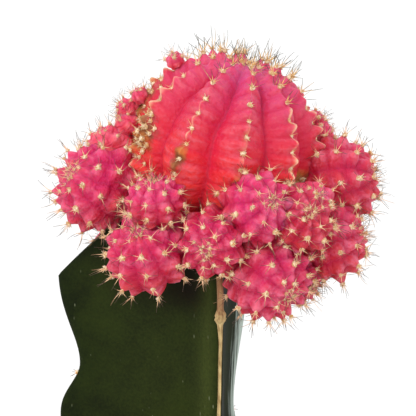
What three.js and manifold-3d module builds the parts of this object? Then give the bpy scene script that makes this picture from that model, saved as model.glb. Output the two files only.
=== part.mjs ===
// A potted moon cactus: a ribbed coral globe ringed by magenta offsets, grafted on a green three-winged
// rootstock that stands in the soil of a plain clay pot.
// Millimetres and degrees, +Z up, origin under the pot's centre. "Around" is measured from the front (-Y)
// towards +X, and "up" from the horizontal towards +Z.

import * as THREE from 'three';
import { mergeVertices } from 'three/addons/utils/BufferGeometryUtils.js';
import Module from 'manifold-3d';

// Clearance that neighbouring pieces keep, and the distance under which two vertices are one
const GAP = 0.3;
const WELD = 1e-3;
const WELD_PASSES = 3;

// Clay pot
const POT_HEIGHT = 86;
const RIM_RADIUS = 52;
const BAND_HEIGHT = 18;
const BAND_PROUD = 3;
const BASE_RADIUS = 36;
const POT_WALL = 4;
const POT_FLOOR = 6;
const DRAIN_RADIUS = 5.5;
const LIP_ROUND = 1.2;
const POT_SIDES = 40;

// Soil
const SOIL_TOP = 78;
const SOIL_MOUND = 1.5;
const SOIL_LUMP = 0.7;
const SOIL_RINGS = 4;

// Rootstock. Each wing has its place around the stem, its reach at a lobe's peak, and the depth and the
// height of the notch between its lobes.
const STEM_X = -7.3;
const STEM_FOOT = 50;
const GRAFT_HEIGHT = 169;
const STEM_CORE = 4;
const FURROW_RADIUS = 8.5;
const WING_ROOT_HALF = 6.5;
const WING_EDGE_HALF = 1.6;
const WING_HOLLOW = 1.3;
const LOBE_RISE = 0.63;
const NOTCH_SHARPNESS = 3;
const SHOULDER_REACH = 21.8;
const SHOULDER_SLOPE = 1.0;
const FOOT_SHARE = 0.6;
const TAPER_TOP = 100;
const STEM_ROWS = 22;
const WINGS = [
  { around: -96, reach: 41.9, dent: 6.3, notch: 121.5, lobe: 47.5, spined: true },
  { around: 24, reach: 18.2, dent: 1.6, notch: 100, lobe: 60, spined: false },
  { around: 144, reach: 26.6, dent: 7.2, notch: 106, lobe: 70, spined: true },
];
const PARED_WING = WINGS[1];
const WING_SHARES = [0, 0.35, 0.7, 0.93, 1, 0.93, 0.7, 0.35];
const WING_SPINES = 3;
const WING_SPINE_LENGTH = 2.6;
const WING_AREOLE_SAG = 3.2;

// Tan strip that dried along the pared wing
const STRIP_TOP = 153;
const STRIP_HALF_WIDTH = 1.1;
const STRIP_FOOT_HALF_WIDTH = 0.45;
const STRIP_FLARE = 3;
const STRIP_HALF_DEPTH = 0.6;
const KNOT_HEIGHT = 141;
const KNOT_SPREAD = 3;
const KNOT_EXTRA = 0.6;
const STRIP_SIDES = 8;
const STRIP_ROWS = 16;

// Mother globe, leaning to the right and forward. On each rib the first areole sits a share of a step
// down, which starts at rowStart and shifts by rowLag from rib to rib.
const MOTHER = {
  x: 1.5, y: 0, z: 188.4, radius: 28.8, squat: 0.96,
  faceAround: 59.4, faceUp: 73.2, ribs: 10, ribTurn: 7.9, furrow: 0.17,
  areoleStep: 10.05, rowStart: 0.36, rowLag: -0.4, crown: 9, reach: 86, areoleStride: 2,
  rings: 20, closeRings: 16, scallop: 0.6, spines: 4, spineLength: 4.8,
};

// Offsets: where each centre lies from the mother's, its radius, and where its crown faces.
// The first rows are those that the front shows, from left to right, and the last ones stand behind.
const OFFSETS = [
  { around: -84, out: 37.6, rise: -11.1, radius: 12.8, faceAround: -50, faceUp: 28 },
  { around: -90, out: 34.8, rise: 1.2, radius: 5.8, faceAround: -50, faceUp: 50 },
  { around: -92, out: 29, rise: 7, radius: 3.8, faceAround: -70, faceUp: 40 },
  { around: -38, out: 32, rise: -12, radius: 8.2, faceAround: -10, faceUp: 70 },
  { around: -43.4, out: 31.7, rise: -27, radius: 12, faceAround: -22, faceUp: 45 },
  { around: -7, out: 30, rise: -23, radius: 9.4, faceAround: -12, faceUp: -5 },
  { around: 18, out: 28.5, rise: -13.4, radius: 10.4, faceAround: 32, faceUp: 20 },
  { around: 39.5, out: 34, rise: -17.4, radius: 8.6, faceAround: 20, faceUp: 30 },
  { around: 87, out: 33.2, rise: -10, radius: 13.2, faceAround: 80, faceUp: 10 },
  { around: 67, out: 33.1, rise: -25.2, radius: 11.6, faceAround: 75, faceUp: 12 },
  { around: 28, out: 26.7, rise: -34, radius: 12.3, faceAround: 35, faceUp: -20 },
  { around: 50, out: 28, rise: -36, radius: 6.8, faceAround: 50, faceUp: -20 },
  { around: 54, out: 33, rise: -12.4, radius: 5, faceAround: 10, faceUp: 30 },
  { around: -94, out: 29, rise: 11.6, radius: 3.3, faceAround: -70, faceUp: 40 },
  { around: -92, out: 25, rise: 15.6, radius: 2.7, faceAround: -60, faceUp: 50 },
  { around: -90, out: 14.4, rise: 26, radius: 2.8, faceAround: -40, faceUp: 60 },
  { around: 106, out: 28.5, rise: 7.2, radius: 3.4, faceAround: 80, faceUp: 35 },
  { around: 98, out: 30, rise: 4, radius: 3.5, faceAround: 70, faceUp: 30 },
  { around: 113, out: 35, rise: -15.4, radius: 11.6, faceAround: 115, faceUp: 10 },
  { around: 138, out: 33, rise: -8.4, radius: 9.4, faceAround: 142, faceUp: 32 },
  { around: 134, out: 32, rise: -29.4, radius: 11, faceAround: 134, faceUp: -14 },
  { around: 164, out: 34, rise: -14.4, radius: 12, faceAround: 168, faceUp: 14 },
  { around: -166, out: 32, rise: -10.4, radius: 10.6, faceAround: -162, faceUp: 32 },
  { around: -172, out: 30, rise: -31.4, radius: 11.4, faceAround: -172, faceUp: -18 },
  { around: -138, out: 33, rise: -13.4, radius: 12.4, faceAround: -132, faceUp: 20 },
  { around: -123, out: 34, rise: -28.4, radius: 11.6, faceAround: -120, faceUp: -10 },
];
const OFFSET_SQUAT = 0.92;
const OFFSET_FURROW = 0.12;
const OFFSET_RIBS = 9;
const OFFSET_TURN_RANGE = 40;
const GOLDEN = 0.382;
const SMALL_OFFSET_RIBS = 6;
const OFFSET_RINGS = 6;
const AREOLE_GAP_LEAST = 1.9;
const AREOLE_GAP_GROWTH = 0.29;
const OFFSET_CROWN = 15;
const OFFSET_REACH = 104;
const OFFSET_STRIDE = 6;
const SMALL_OFFSET_STRIDE = 2;
const STRIDE_SHIFT = 3;
const OFFSET_SPINES = 3;
const OFFSET_SPINE_LENGTH = 3.8;
const SMALL_OFFSET = 6.5;
const NECK_SHARE = 0.5;
const NECK_SIDES = 5;
const NECK_ROOT_SHARE = 0.6;
const NECK_BITE = 2;

// Areoles, with the spines that spread from them
const AREOLE_RADIUS = 0.55;
const AREOLE_RISE = 0.45;
const AREOLE_ROOT = 1.0;
const SPINE_LIFT = 42;
const SPINE_LIFT_SPREAD = 14;
const SPINE_LENGTH_SPREAD = 0.25;
const AREOLE_CLEARANCE = 1.2;

// Shape of a head near its crown and along its crests
const RIB_FADE_FROM = 4;
const RIB_FADE_TO = 34;
const CROWN_DIP = 0.05;
const SCALLOP_SHARPNESS = 4;

// Seed, factor and modulus of the random draws
const DRAW_SEED = 20407;
const DRAW_FACTOR = 16807;
const DRAW_MODULUS = 2 ** 31 - 1;

const wasm = await Module();
wasm.setup();

const radians = THREE.MathUtils.degToRad;
const degrees = THREE.MathUtils.radToDeg;
const UP = new THREE.Vector3(0, 0, 1);

// Seeded numbers from 0 to 1, alike in each run
let drawState = DRAW_SEED;
function draw() {
  drawState = (drawState * DRAW_FACTOR) % DRAW_MODULUS;
  return drawState / DRAW_MODULUS;
}

function spread(amount) {
  return (2 * draw() - 1) * amount;
}

// Unit vector that faces a given way
function facing(around, up) {
  const level = Math.cos(radians(up));
  return new THREE.Vector3(
    level * Math.sin(radians(around)), -level * Math.cos(radians(around)), Math.sin(radians(up)));
}

// Closed solid from a geometry, and a geometry from a solid
function solidOf(geometry) {
  const bare = geometry.clone();
  bare.deleteAttribute('normal');
  bare.deleteAttribute('uv');
  const merged = mergeVertices(bare, WELD);
  return new wasm.Manifold(new wasm.Mesh({
    numProp: 3,
    vertProperties: Float32Array.from(merged.attributes.position.array),
    triVerts: Uint32Array.from(merged.index.array),
  }));
}

function geometryOf(solid) {
  const mesh = solid.getMesh();
  const geometry = new THREE.BufferGeometry();
  geometry.setAttribute('position', new THREE.BufferAttribute(Float32Array.from(mesh.vertProperties), 3));
  geometry.setIndex(new THREE.BufferAttribute(Uint32Array.from(mesh.triVerts), 1));
  geometry.computeVertexNormals();
  return geometry;
}

// Moves every vertex of a geometry to where a rule puts it
function reshape(geometry, rule) {
  const places = geometry.attributes.position;
  const place = new THREE.Vector3();
  for (let i = 0; i < places.count; i += 1) {
    place.fromBufferAttribute(places, i);
    rule(place);
    places.setXYZ(i, place.x, place.y, place.z);
  }
  return geometry;
}

// A unit globe with its poles on Z and its first meridian at the front
function unitGlobe(around, rings) {
  return new THREE.SphereGeometry(1, around, rings).rotateX(Math.PI / 2).rotateZ(Math.PI / 2);
}

// The largest of a solid's separate shells, which drops loose scraps and fills sealed hollows.
// A shell that only touches another along an edge comes apart once its vertices are welded again.
function mainBody(solid) {
  let body = solid;
  for (let pass = 0; pass < WELD_PASSES; pass += 1) {
    const shells = solidOf(geometryOf(body)).decompose();
    body = shells.reduce((best, shell) => (shell.volume() > best.volume() ? shell : best));
  }
  return body;
}

function joined(solids) {
  return solids.reduce((sum, solid) => sum.add(solid));
}

// Heads: the mother and the offsets share one surface rule

// A number's part after the point
function fraction(value) {
  return value - Math.floor(value);
}

function offsetHead(offset, number) {
  const centre = facing(offset.around, 0).multiplyScalar(offset.out);
  const small = offset.radius < SMALL_OFFSET;
  const gap = AREOLE_GAP_LEAST + AREOLE_GAP_GROWTH * offset.radius;
  return {
    x: MOTHER.x + centre.x, y: MOTHER.y + centre.y, z: MOTHER.z + offset.rise,
    radius: offset.radius, squat: OFFSET_SQUAT,
    faceAround: offset.faceAround, faceUp: offset.faceUp,
    ribs: small ? SMALL_OFFSET_RIBS : OFFSET_RIBS, furrow: OFFSET_FURROW,
    ribTurn: (fraction(GOLDEN * number) - 0.5) * OFFSET_TURN_RANGE,
    areoleStep: degrees(gap / offset.radius), rowStart: GOLDEN * number, rowLag: GOLDEN,
    crown: OFFSET_CROWN, reach: OFFSET_REACH,
    areoleStride: small ? SMALL_OFFSET_STRIDE : OFFSET_STRIDE,
    rings: OFFSET_RINGS, closeRings: 0,
    scallop: 0, spines: OFFSET_SPINES, spineLength: OFFSET_SPINE_LENGTH,
  };
}

function headCentre(head) {
  return new THREE.Vector3(head.x, head.y, head.z);
}

function headTurn(head) {
  return new THREE.Quaternion().setFromUnitVectors(UP, facing(head.faceAround, head.faceUp));
}

// How far down its rib the first areole sits, in steps
function rowPhase(head, rib) {
  return fraction(head.rowStart + head.rowLag * ((rib + head.ribs) % head.ribs));
}

// A point of a head's surface, by its angle from the crown and its longitude
function headPoint(head, polar, longitude) {
  const fade = THREE.MathUtils.smoothstep(polar, RIB_FADE_FROM, RIB_FADE_TO);
  const share = (longitude - head.ribTurn) * head.ribs / 360;
  const rib = Math.round(share);
  const crest = 1 - 2 * Math.abs(share - rib);
  const row = polar / head.areoleStep - rowPhase(head, rib);
  const scallop = -head.scallop * Math.cos(2 * Math.PI * row) * crest ** SCALLOP_SHARPNESS * fade;
  const reach = head.radius * (1 - head.furrow * (1 - crest) * fade) + scallop;
  const dip = head.radius * CROWN_DIP * (1 - fade);
  const level = Math.sin(radians(polar)) * reach;
  const height = Math.cos(radians(polar)) * reach * head.squat - dip;
  const point = facing(longitude, 0).multiplyScalar(level);
  point.z = height;
  return point.applyQuaternion(headTurn(head)).add(headCentre(head));
}

// Ring number to angle from the crown: rings where areoles sit are half an areole step apart, and lie on
// the areoles of each crest, and wide ones follow under them
function ringPolar(head, ring, step) {
  const slides = step % 2 === 0 && ring > 1;
  const phase = rowPhase(head, step / 2);
  if (ring <= head.closeRings) {
    return (ring / 2 + (slides ? phase - Math.round(phase) : 0)) * head.areoleStep;
  }
  const reached = head.closeRings * head.areoleStep / 2;
  return reached + (ring - head.closeRings) * (180 - reached) / (head.rings - head.closeRings);
}

function headSolid(head) {
  const globe = unitGlobe(2 * head.ribs, head.rings);
  const crestStep = 180 / head.ribs;
  return solidOf(reshape(globe, (place) => {
    const ring = Math.round(Math.acos(THREE.MathUtils.clamp(place.z, -1, 1)) / Math.PI * head.rings);
    const onAxis = ring === 0 || ring === head.rings;
    const step = onAxis ? 0 : Math.round(degrees(Math.atan2(place.x, -place.y)) / crestStep);
    place.copy(headPoint(head, ringPolar(head, ring, step), head.ribTurn + step * crestStep));
  }));
}

// An areole: a low cushion whose rim is drawn out into spines, as one faceted star
function areoleStar(at, outward, towardsCrown, count, length) {
  const star = unitGlobe(2 * count, 2);
  const aside = new THREE.Vector3().crossVectors(towardsCrown, outward).normalize();
  const tips = Array.from({ length: count }, () => ({
    length: length * (1 + spread(SPINE_LENGTH_SPREAD)),
    lift: radians(SPINE_LIFT + spread(SPINE_LIFT_SPREAD)),
  }));
  return solidOf(reshape(star, (place) => {
    const pole = Math.abs(place.z) > 0.5;
    const step = Math.round(degrees(Math.atan2(place.x, -place.y)) * count / 180 + 2 * count) % (2 * count);
    const angle = Math.PI * step / count;
    const tip = tips[step / 2];
    let level = pole ? 0 : AREOLE_RADIUS;
    let rise = pole ? (place.z > 0 ? AREOLE_RISE : -AREOLE_ROOT) : 0;
    if (!pole && step % 2 === 0) {
      level = tip.length * Math.cos(tip.lift);
      rise = tip.length * Math.sin(tip.lift);
    }
    place.copy(at)
      .addScaledVector(aside, level * Math.sin(angle))
      .addScaledVector(towardsCrown, -level * Math.cos(angle))
      .addScaledVector(outward, rise);
  }));
}

function insideAnyHead(point, heads) {
  return heads.some((head) => point.distanceTo(headCentre(head)) < head.radius + AREOLE_CLEARANCE);
}

function underGraft(point) {
  const fromStem = Math.hypot(point.x - STEM_X, point.y);
  return point.z < GRAFT_HEIGHT + AREOLE_CLEARANCE && fromStem < SHOULDER_REACH + AREOLE_CLEARANCE;
}

// All areoles of a head that no other head and no stem covers
function headAreoles(head, others) {
  const stars = [];
  for (let rib = 0; rib < head.ribs; rib += 1) {
    const longitude = head.ribTurn + rib * 360 / head.ribs;
    const rows = Math.floor(head.reach / head.areoleStep);
    for (let row = 0; row < rows; row += 1) {
      const polar = (row + rowPhase(head, rib)) * head.areoleStep;
      const left = polar < head.crown || (row + STRIDE_SHIFT * rib) % head.areoleStride !== 0;
      const at = headPoint(head, polar, longitude);
      if (!left && !insideAnyHead(at, others) && !underGraft(at)) {
        const above = headPoint(head, polar - 1, longitude);
        const outward = at.clone().sub(headCentre(head)).normalize();
        const towardsCrown = above.sub(at).projectOnPlane(outward).normalize();
        stars.push(areoleStar(at, outward, towardsCrown, head.spines, head.spineLength));
      }
    }
  }
  return stars;
}

// The short neck by which an offset that stands off the mother grows from her
function needsNeck(head) {
  const nearest = headCentre(head).distanceTo(headCentre(MOTHER)) - head.radius;
  return nearest > MOTHER.radius - NECK_BITE;
}

function neck(head) {
  const end = headCentre(head);
  const root = headCentre(MOTHER).lerp(end, NECK_ROOT_SHARE * MOTHER.radius / end.distanceTo(headCentre(MOTHER)));
  const path = end.clone().sub(root);
  const radius = head.radius * NECK_SHARE;
  const stalk = new THREE.CylinderGeometry(radius, radius, path.length(), NECK_SIDES);
  stalk.rotateX(Math.PI / 2);
  stalk.applyQuaternion(new THREE.Quaternion().setFromUnitVectors(UP, path.clone().normalize()));
  stalk.translate(...root.add(end).multiplyScalar(0.5));
  return solidOf(stalk);
}

// Rootstock

function wingReach(wing, height) {
  const place = fraction((height - wing.notch) / wing.lobe);
  const climb = 0.5 * place / LOBE_RISE;
  const fall = 0.5 + 0.5 * (place - LOBE_RISE) / (1 - LOBE_RISE);
  const turn = Math.PI * (place < LOBE_RISE ? climb : fall);
  const lobe = wing.reach - wing.dent * Math.abs(Math.cos(turn)) ** NOTCH_SHARPNESS;
  const shoulder = SHOULDER_REACH + SHOULDER_SLOPE * (GRAFT_HEIGHT - height);
  const taper = THREE.MathUtils.smoothstep(height, STEM_FOOT, TAPER_TOP);
  return Math.min(lobe, shoulder) * THREE.MathUtils.lerp(FOOT_SHARE, 1, taper);
}

// A point of the stem's outline, by its step around and its height, grown outwards by a clearance
function stemPoint(step, height, grown) {
  const wing = WINGS[Math.floor(step / WING_SHARES.length) % WINGS.length];
  const place = step % WING_SHARES.length;
  if (place === 0) {
    return facing(wing.around - 180 / WINGS.length, 0).multiplyScalar(FURROW_RADIUS + grown);
  }
  const share = WING_SHARES[place];
  const side = Math.sign(place - 4);
  const half = WING_EDGE_HALF + (WING_ROOT_HALF - WING_EDGE_HALF) * (1 - share) ** WING_HOLLOW + grown;
  const along = STEM_CORE + (wingReach(wing, height) - STEM_CORE) * share + grown * share;
  return facing(wing.around, 0).multiplyScalar(along)
    .addScaledVector(facing(wing.around + 90, 0), side * half);
}

function stemSolid(grown) {
  const around = WINGS.length * WING_SHARES.length;
  const column = new THREE.CylinderGeometry(1, 1, 1, around, STEM_ROWS).rotateX(Math.PI / 2);
  const foot = STEM_FOOT - grown;
  const top = GRAFT_HEIGHT + grown;
  return solidOf(reshape(column, (place) => {
    const height = foot + (place.z + 0.5) * (top - foot);
    const onAxis = Math.hypot(place.x, place.y) < 0.5;
    const step = Math.round(degrees(Math.atan2(place.x, -place.y)) * around / 360 + around) % around;
    const at = onAxis ? new THREE.Vector3() : stemPoint(step, Math.min(height, GRAFT_HEIGHT), grown);
    place.set(STEM_X + at.x, at.y, height);
  }));
}

// Small areoles just under the notches between the lobes of the unpared wings
function stemAreoles() {
  const stars = [];
  for (const wing of WINGS.filter((each) => each.spined)) {
    const top = GRAFT_HEIGHT - SHOULDER_REACH;
    for (let height = wing.notch - WING_AREOLE_SAG; height < top; height += wing.lobe) {
      const outward = facing(wing.around, 0);
      const at = outward.clone().multiplyScalar(wingReach(wing, height) - AREOLE_RISE);
      at.add(new THREE.Vector3(STEM_X, 0, height));
      stars.push(areoleStar(at, outward, UP, WING_SPINES, WING_SPINE_LENGTH));
    }
  }
  return stars;
}

// Tan strip on the pared wing's edge, thickened at its knot
function stripSolid() {
  const strip = new THREE.CylinderGeometry(1, 1, 1, STRIP_SIDES, STRIP_ROWS).rotateX(Math.PI / 2);
  const foot = SOIL_TOP + SOIL_MOUND + SOIL_LUMP + GAP;
  const outward = facing(PARED_WING.around, 0);
  const aside = facing(PARED_WING.around + 90, 0);
  return solidOf(reshape(strip, (place) => {
    const share = place.z + 0.5;
    const height = foot + share * (STRIP_TOP - foot);
    const knot = KNOT_EXTRA * Math.exp(-(((height - KNOT_HEIGHT) / KNOT_SPREAD) ** 2));
    const half = THREE.MathUtils.lerp(STRIP_FOOT_HALF_WIDTH, STRIP_HALF_WIDTH, share ** STRIP_FLARE) + knot;
    const deep = STRIP_HALF_DEPTH + knot / 2;
    const middle = wingReach(PARED_WING, height) + GAP + deep;
    const at = new THREE.Vector3(STEM_X, 0, height)
      .addScaledVector(outward, middle - place.y * deep)
      .addScaledVector(aside, place.x * half);
    place.copy(at);
  }));
}

// Pot and soil

function potInnerRadius(height) {
  const share = height / POT_HEIGHT;
  return THREE.MathUtils.lerp(BASE_RADIUS, RIM_RADIUS - BAND_PROUD, share) - POT_WALL;
}

function potOuterRadius(height) {
  return potInnerRadius(height) + POT_WALL;
}

function potSolid() {
  const band = POT_HEIGHT - BAND_HEIGHT;
  const profile = [
    [DRAIN_RADIUS, 0],
    [BASE_RADIUS - LIP_ROUND, 0],
    [potOuterRadius(LIP_ROUND), LIP_ROUND],
    [potOuterRadius(band), band],
    [RIM_RADIUS - LIP_ROUND, band + LIP_ROUND],
    [RIM_RADIUS, band + 2 * LIP_ROUND],
    [RIM_RADIUS, POT_HEIGHT - LIP_ROUND],
    [RIM_RADIUS - LIP_ROUND, POT_HEIGHT],
    [potInnerRadius(POT_HEIGHT) + LIP_ROUND, POT_HEIGHT],
    [potInnerRadius(POT_HEIGHT), POT_HEIGHT - LIP_ROUND],
    [potInnerRadius(POT_FLOOR), POT_FLOOR],
    [DRAIN_RADIUS, POT_FLOOR],
    [DRAIN_RADIUS, 0],
  ].map(([radius, height]) => new THREE.Vector2(radius, height));
  return solidOf(new THREE.LatheGeometry(profile, POT_SIDES).rotateX(Math.PI / 2));
}

// The soil's top: a low mound with soft lumps that fade at the pot's wall
function soilHeight(radius, angle) {
  const share = radius / potInnerRadius(SOIL_TOP);
  const lump = SOIL_LUMP * Math.sin(3 * angle + radius / 5) * Math.cos(radius / 4 + angle);
  return SOIL_TOP + (SOIL_MOUND + lump) * (1 - share ** 2);
}

function soilSolid(stemHole) {
  const rim = potInnerRadius(SOIL_TOP) - GAP;
  const profile = [
    [0, POT_FLOOR + GAP],
    [potInnerRadius(POT_FLOOR) - GAP, POT_FLOOR + GAP],
  ];
  for (let ring = SOIL_RINGS; ring >= 0; ring -= 1) {
    profile.push([rim * ring / SOIL_RINGS, SOIL_TOP]);
  }
  const points = profile.map(([radius, height]) => new THREE.Vector2(radius, height));
  const fill = new THREE.LatheGeometry(points, POT_SIDES).rotateX(Math.PI / 2);
  reshape(fill, (place) => {
    if (place.z > SOIL_TOP - GAP) {
      const radius = Math.hypot(place.x, place.y);
      place.z = soilHeight(radius, Math.atan2(place.y, place.x));
    }
  });
  return solidOf(fill).subtract(stemHole);
}

// The pieces

const stemHole = stemSolid(GAP);
const stem = joined([stemSolid(0), ...stemAreoles()]);
const offsetHeads = OFFSETS.map(offsetHead);
const heads = [MOTHER, ...offsetHeads];
const scion = joined([
  ...heads.map(headSolid),
  ...offsetHeads.filter(needsNeck).map(neck),
  ...heads.flatMap((head) => headAreoles(head, heads.filter((other) => other !== head))),
]).subtract(stemHole);

const pieces = [
  { name: 'pot', solid: potSolid(), colour: 0xb5653f, roughness: 0.9 },
  { name: 'soil', solid: soilSolid(stemHole), colour: 0x3a2a1f, roughness: 1 },
  { name: 'rootstock', solid: mainBody(stem), colour: 0x2c3d18, roughness: 0.45 },
  { name: 'dried_rib_edge', solid: stripSolid(), colour: 0xb89a6a, roughness: 0.85 },
  { name: 'grafted_scion', solid: mainBody(scion), colour: 0xdc3c5c, roughness: 0.5 },
];

const pottedMoonCactus = new THREE.Group();
for (const { name, solid, colour, roughness } of pieces) {
  const material = new THREE.MeshStandardMaterial({ color: colour, roughness, metalness: 0, flatShading: true });
  const mesh = new THREE.Mesh(geometryOf(solid), material);
  mesh.name = name;
  pottedMoonCactus.add(mesh);
}

export default pottedMoonCactus;
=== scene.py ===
"""A potted moon cactus: a ribbed coral globe ringed by magenta offsets, on a green stem in a clay pot.

Lengths are millimetres and angles are degrees until a mesh is finished, which turns it to metres.
"Around" is measured from the front (-Y) towards +X, and "up" from the horizontal towards +Z.
"""

import logging
import math
import random
from collections.abc import Callable
from dataclasses import dataclass, replace
from enum import Enum
from functools import cached_property

import bmesh
import bpy
from bmesh.types import BMEdge, BMesh, BMLayerItem
from bpy.types import ID, ColorRamp, Material, Mesh, NodeSocket
from mathutils import Matrix, Vector, noise


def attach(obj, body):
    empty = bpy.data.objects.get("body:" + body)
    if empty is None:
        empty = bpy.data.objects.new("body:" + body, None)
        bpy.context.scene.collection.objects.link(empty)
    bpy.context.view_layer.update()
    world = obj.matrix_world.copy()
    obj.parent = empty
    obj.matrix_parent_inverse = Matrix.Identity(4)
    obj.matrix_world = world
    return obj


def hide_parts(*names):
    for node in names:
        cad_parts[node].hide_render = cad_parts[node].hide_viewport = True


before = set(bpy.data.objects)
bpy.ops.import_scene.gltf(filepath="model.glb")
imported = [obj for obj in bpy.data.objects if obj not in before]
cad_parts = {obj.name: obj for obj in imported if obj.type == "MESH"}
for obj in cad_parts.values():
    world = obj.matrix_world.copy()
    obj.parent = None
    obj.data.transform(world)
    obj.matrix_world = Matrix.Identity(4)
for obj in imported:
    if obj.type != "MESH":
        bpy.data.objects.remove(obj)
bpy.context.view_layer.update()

LOG = logging.getLogger("moon_cactus")
BODY = "root"
MM = 0.001
UP = Vector((0, 0, 1))
GOLDEN = 0.382


class Slot(Enum):
    """Material slots of the record."""

    CLAY = "clay"
    SOIL = "potting_soil"
    STEM = "green_stem"
    CORK = "dried_cork"
    FLESH = "coral_flesh"


class Solid(Enum):
    """Solids of the frame that the finished pieces stand for."""

    POT = "pot"
    SOIL = "soil"
    ROOTSTOCK = "rootstock"
    STRIP = "dried_rib_edge"
    SCION = "grafted_scion"


class Mark(Enum):
    """Float attributes that a mesh carries for its material."""

    AGE = "age"
    FURROW = "furrow"
    BAND = "band"
    EDGE = "edge"
    CORK = "cork"
    # On a head: its coral tint, plus painted shade on its lower side. On the stem: painted light on a
    # flank and a ridge.
    BLUSH_AND_SHADING = "blush_and_shading"
    ALONG = "along"
    TINT = "tint"
    EAST = "east"
    NORTH = "north"
    KNOB = "knob"


# Plain geometry


def facing(around: float, up: float) -> Vector:
    """Gives the unit vector that faces a given way.

    Args:
        around: Angle from the front towards +X.
        up: Angle above the horizontal.

    Returns:
        The unit vector.
    """
    level = math.cos(math.radians(up))
    turn = math.radians(around)
    return Vector((level * math.sin(turn), -level * math.cos(turn), math.sin(math.radians(up))))


def blend(start: float, end: float, share: float) -> float:
    """Returns the value at a share of the way from start to end."""
    return start + (end - start) * share


def polar_of(place: Vector) -> float:
    """Returns how far a place on a globe of radius 1 lies from its top."""
    return math.degrees(math.acos(max(-1.0, min(1.0, place.z))))


def ease(value: float, low: float, high: float) -> float:
    """Returns 0 up to low and 1 from high on, with a smooth step between them."""
    share = min(max((value - low) / (high - low), 0.0), 1.0)
    return share * share * (3 - 2 * share)


def bell(distance: float, width: float) -> float:
    """Returns a bell curve's height at a distance from its middle."""
    return math.exp(-((distance / width) ** 2))


def upright(outward: Vector, upward: Vector) -> Matrix:
    """Gives the turn that stands a shape on a surface.

    Args:
        outward: Where the shape's +Z goes.
        upward: Where its +Y goes, as nearly as outward lets it.

    Returns:
        The turn, as a 4x4 matrix.
    """
    out = outward.normalized()
    aside = upward.cross(out).normalized()
    return Matrix((aside, out.cross(aside), out)).transposed().to_4x4()


def start_mesh(*marks: Mark) -> BMesh:
    """Returns an empty bmesh with a float layer for each mark."""
    bm = bmesh.new()
    for mark in marks:
        bm.verts.layers.float.new(mark.value)
    return bm


def layer_of(bm: BMesh, mark: Mark) -> BMLayerItem:
    """Returns a bmesh's float layer for a mark."""
    return bm.verts.layers.float[mark.value]


def rise_of(edge: BMEdge) -> float:
    """Returns how much higher one end of an edge is than the other."""
    return abs(edge.verts[0].co.z - edge.verts[1].co.z)


def create_column(bm: BMesh, sides: int, rows: int) -> None:
    """Adds a closed upright column of radius and height 1, with its walls cut into rows."""
    bmesh.ops.create_cone(bm, cap_ends=True, segments=sides, radius1=1, radius2=1, depth=1)
    walls = [edge for edge in bm.edges if rise_of(edge) > 0.5]
    bmesh.ops.subdivide_edges(bm, edges=walls, cuts=rows)


def close_mesh(bm: BMesh, name: str) -> Mesh:
    """Returns a closed bmesh as a mesh with its faces pointing out, and frees the bmesh."""
    bmesh.ops.recalc_face_normals(bm, faces=bm.faces)
    mesh = bpy.data.meshes.new(name)
    bm.to_mesh(mesh)
    bm.free()
    return mesh


def stamp(bm: BMesh, template: Mesh, matrix: Matrix) -> None:
    """Adds a copy of a template mesh to a bmesh, placed by a matrix."""
    first = len(bm.verts)
    bm.from_mesh(template)
    bm.verts.ensure_lookup_table()
    bmesh.ops.transform(bm, matrix=matrix, verts=bm.verts[first:])


def finish_piece(bm: BMesh, name: str, material: Material, solid: Solid) -> None:
    """Turns a bmesh in millimetres into a finished piece, dressed and tied to the frame.

    Args:
        bm: The closed shape, which is freed.
        name: The piece's name.
        material: The finish it wears.
        solid: The frame's solid that the piece stands for.
    """
    bmesh.ops.scale(bm, vec=(MM, MM, MM), verts=bm.verts)
    for face in bm.faces:
        face.smooth = True
    mesh = close_mesh(bm, name)
    mesh.materials.append(material)
    piece = bpy.data.objects.new(name, mesh)
    bpy.context.scene.collection.objects.link(piece)
    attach(piece, BODY)
    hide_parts(solid.value)
    LOG.info("%s: %d faces", name, len(mesh.polygons))


# Shader building


Colour = tuple[float, float, float]


def linear(red: int, green: int, blue: int) -> Colour:
    """Returns the linear colour of display values from 0 to 255."""

    def channel(value: int) -> float:
        """Returns one display value made linear."""
        share = value / 255
        return share / 12.92 if share <= 0.04045 else ((share + 0.055) / 1.055) ** 2.4

    return channel(red), channel(green), channel(blue)


def maths(operation: str, swapped: bool = False) -> "Callable[[Signal, Signal | float], Signal]":
    """Makes an arithmetic method of a signal.

    Args:
        operation: The Math node that it adds.
        swapped: Whether the other value comes first.

    Returns:
        The method.
    """

    def method(self: "Signal", other: "Signal | float") -> "Signal":
        """Returns the Math node's result."""
        values = (other, self) if swapped else (self, other)
        return self.graph.node("ShaderNodeMath", {"operation": operation}, dict(enumerate(values)))

    return method


class Signal:
    """A shader socket that takes part in plain arithmetic, each step of which adds a Math node."""

    __add__ = maths("ADD")
    __radd__ = maths("ADD", swapped=True)
    __sub__ = maths("SUBTRACT")
    __rsub__ = maths("SUBTRACT", swapped=True)
    __mul__ = maths("MULTIPLY")
    __pow__ = maths("POWER")

    def __init__(self, graph: "Graph", socket: NodeSocket) -> None:
        """Wraps a socket of a graph."""
        self.graph = graph
        self.socket = socket

    def between(self, low: float, high: float) -> "Signal":
        """Returns 0 up to low and 1 from high on, with a smooth step between them."""
        settings = {"interpolation_type": "SMOOTHSTEP"}
        return self.graph.node(
            "ShaderNodeMapRange", settings, {"Value": self, "From Min": low, "From Max": high}
        )


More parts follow.
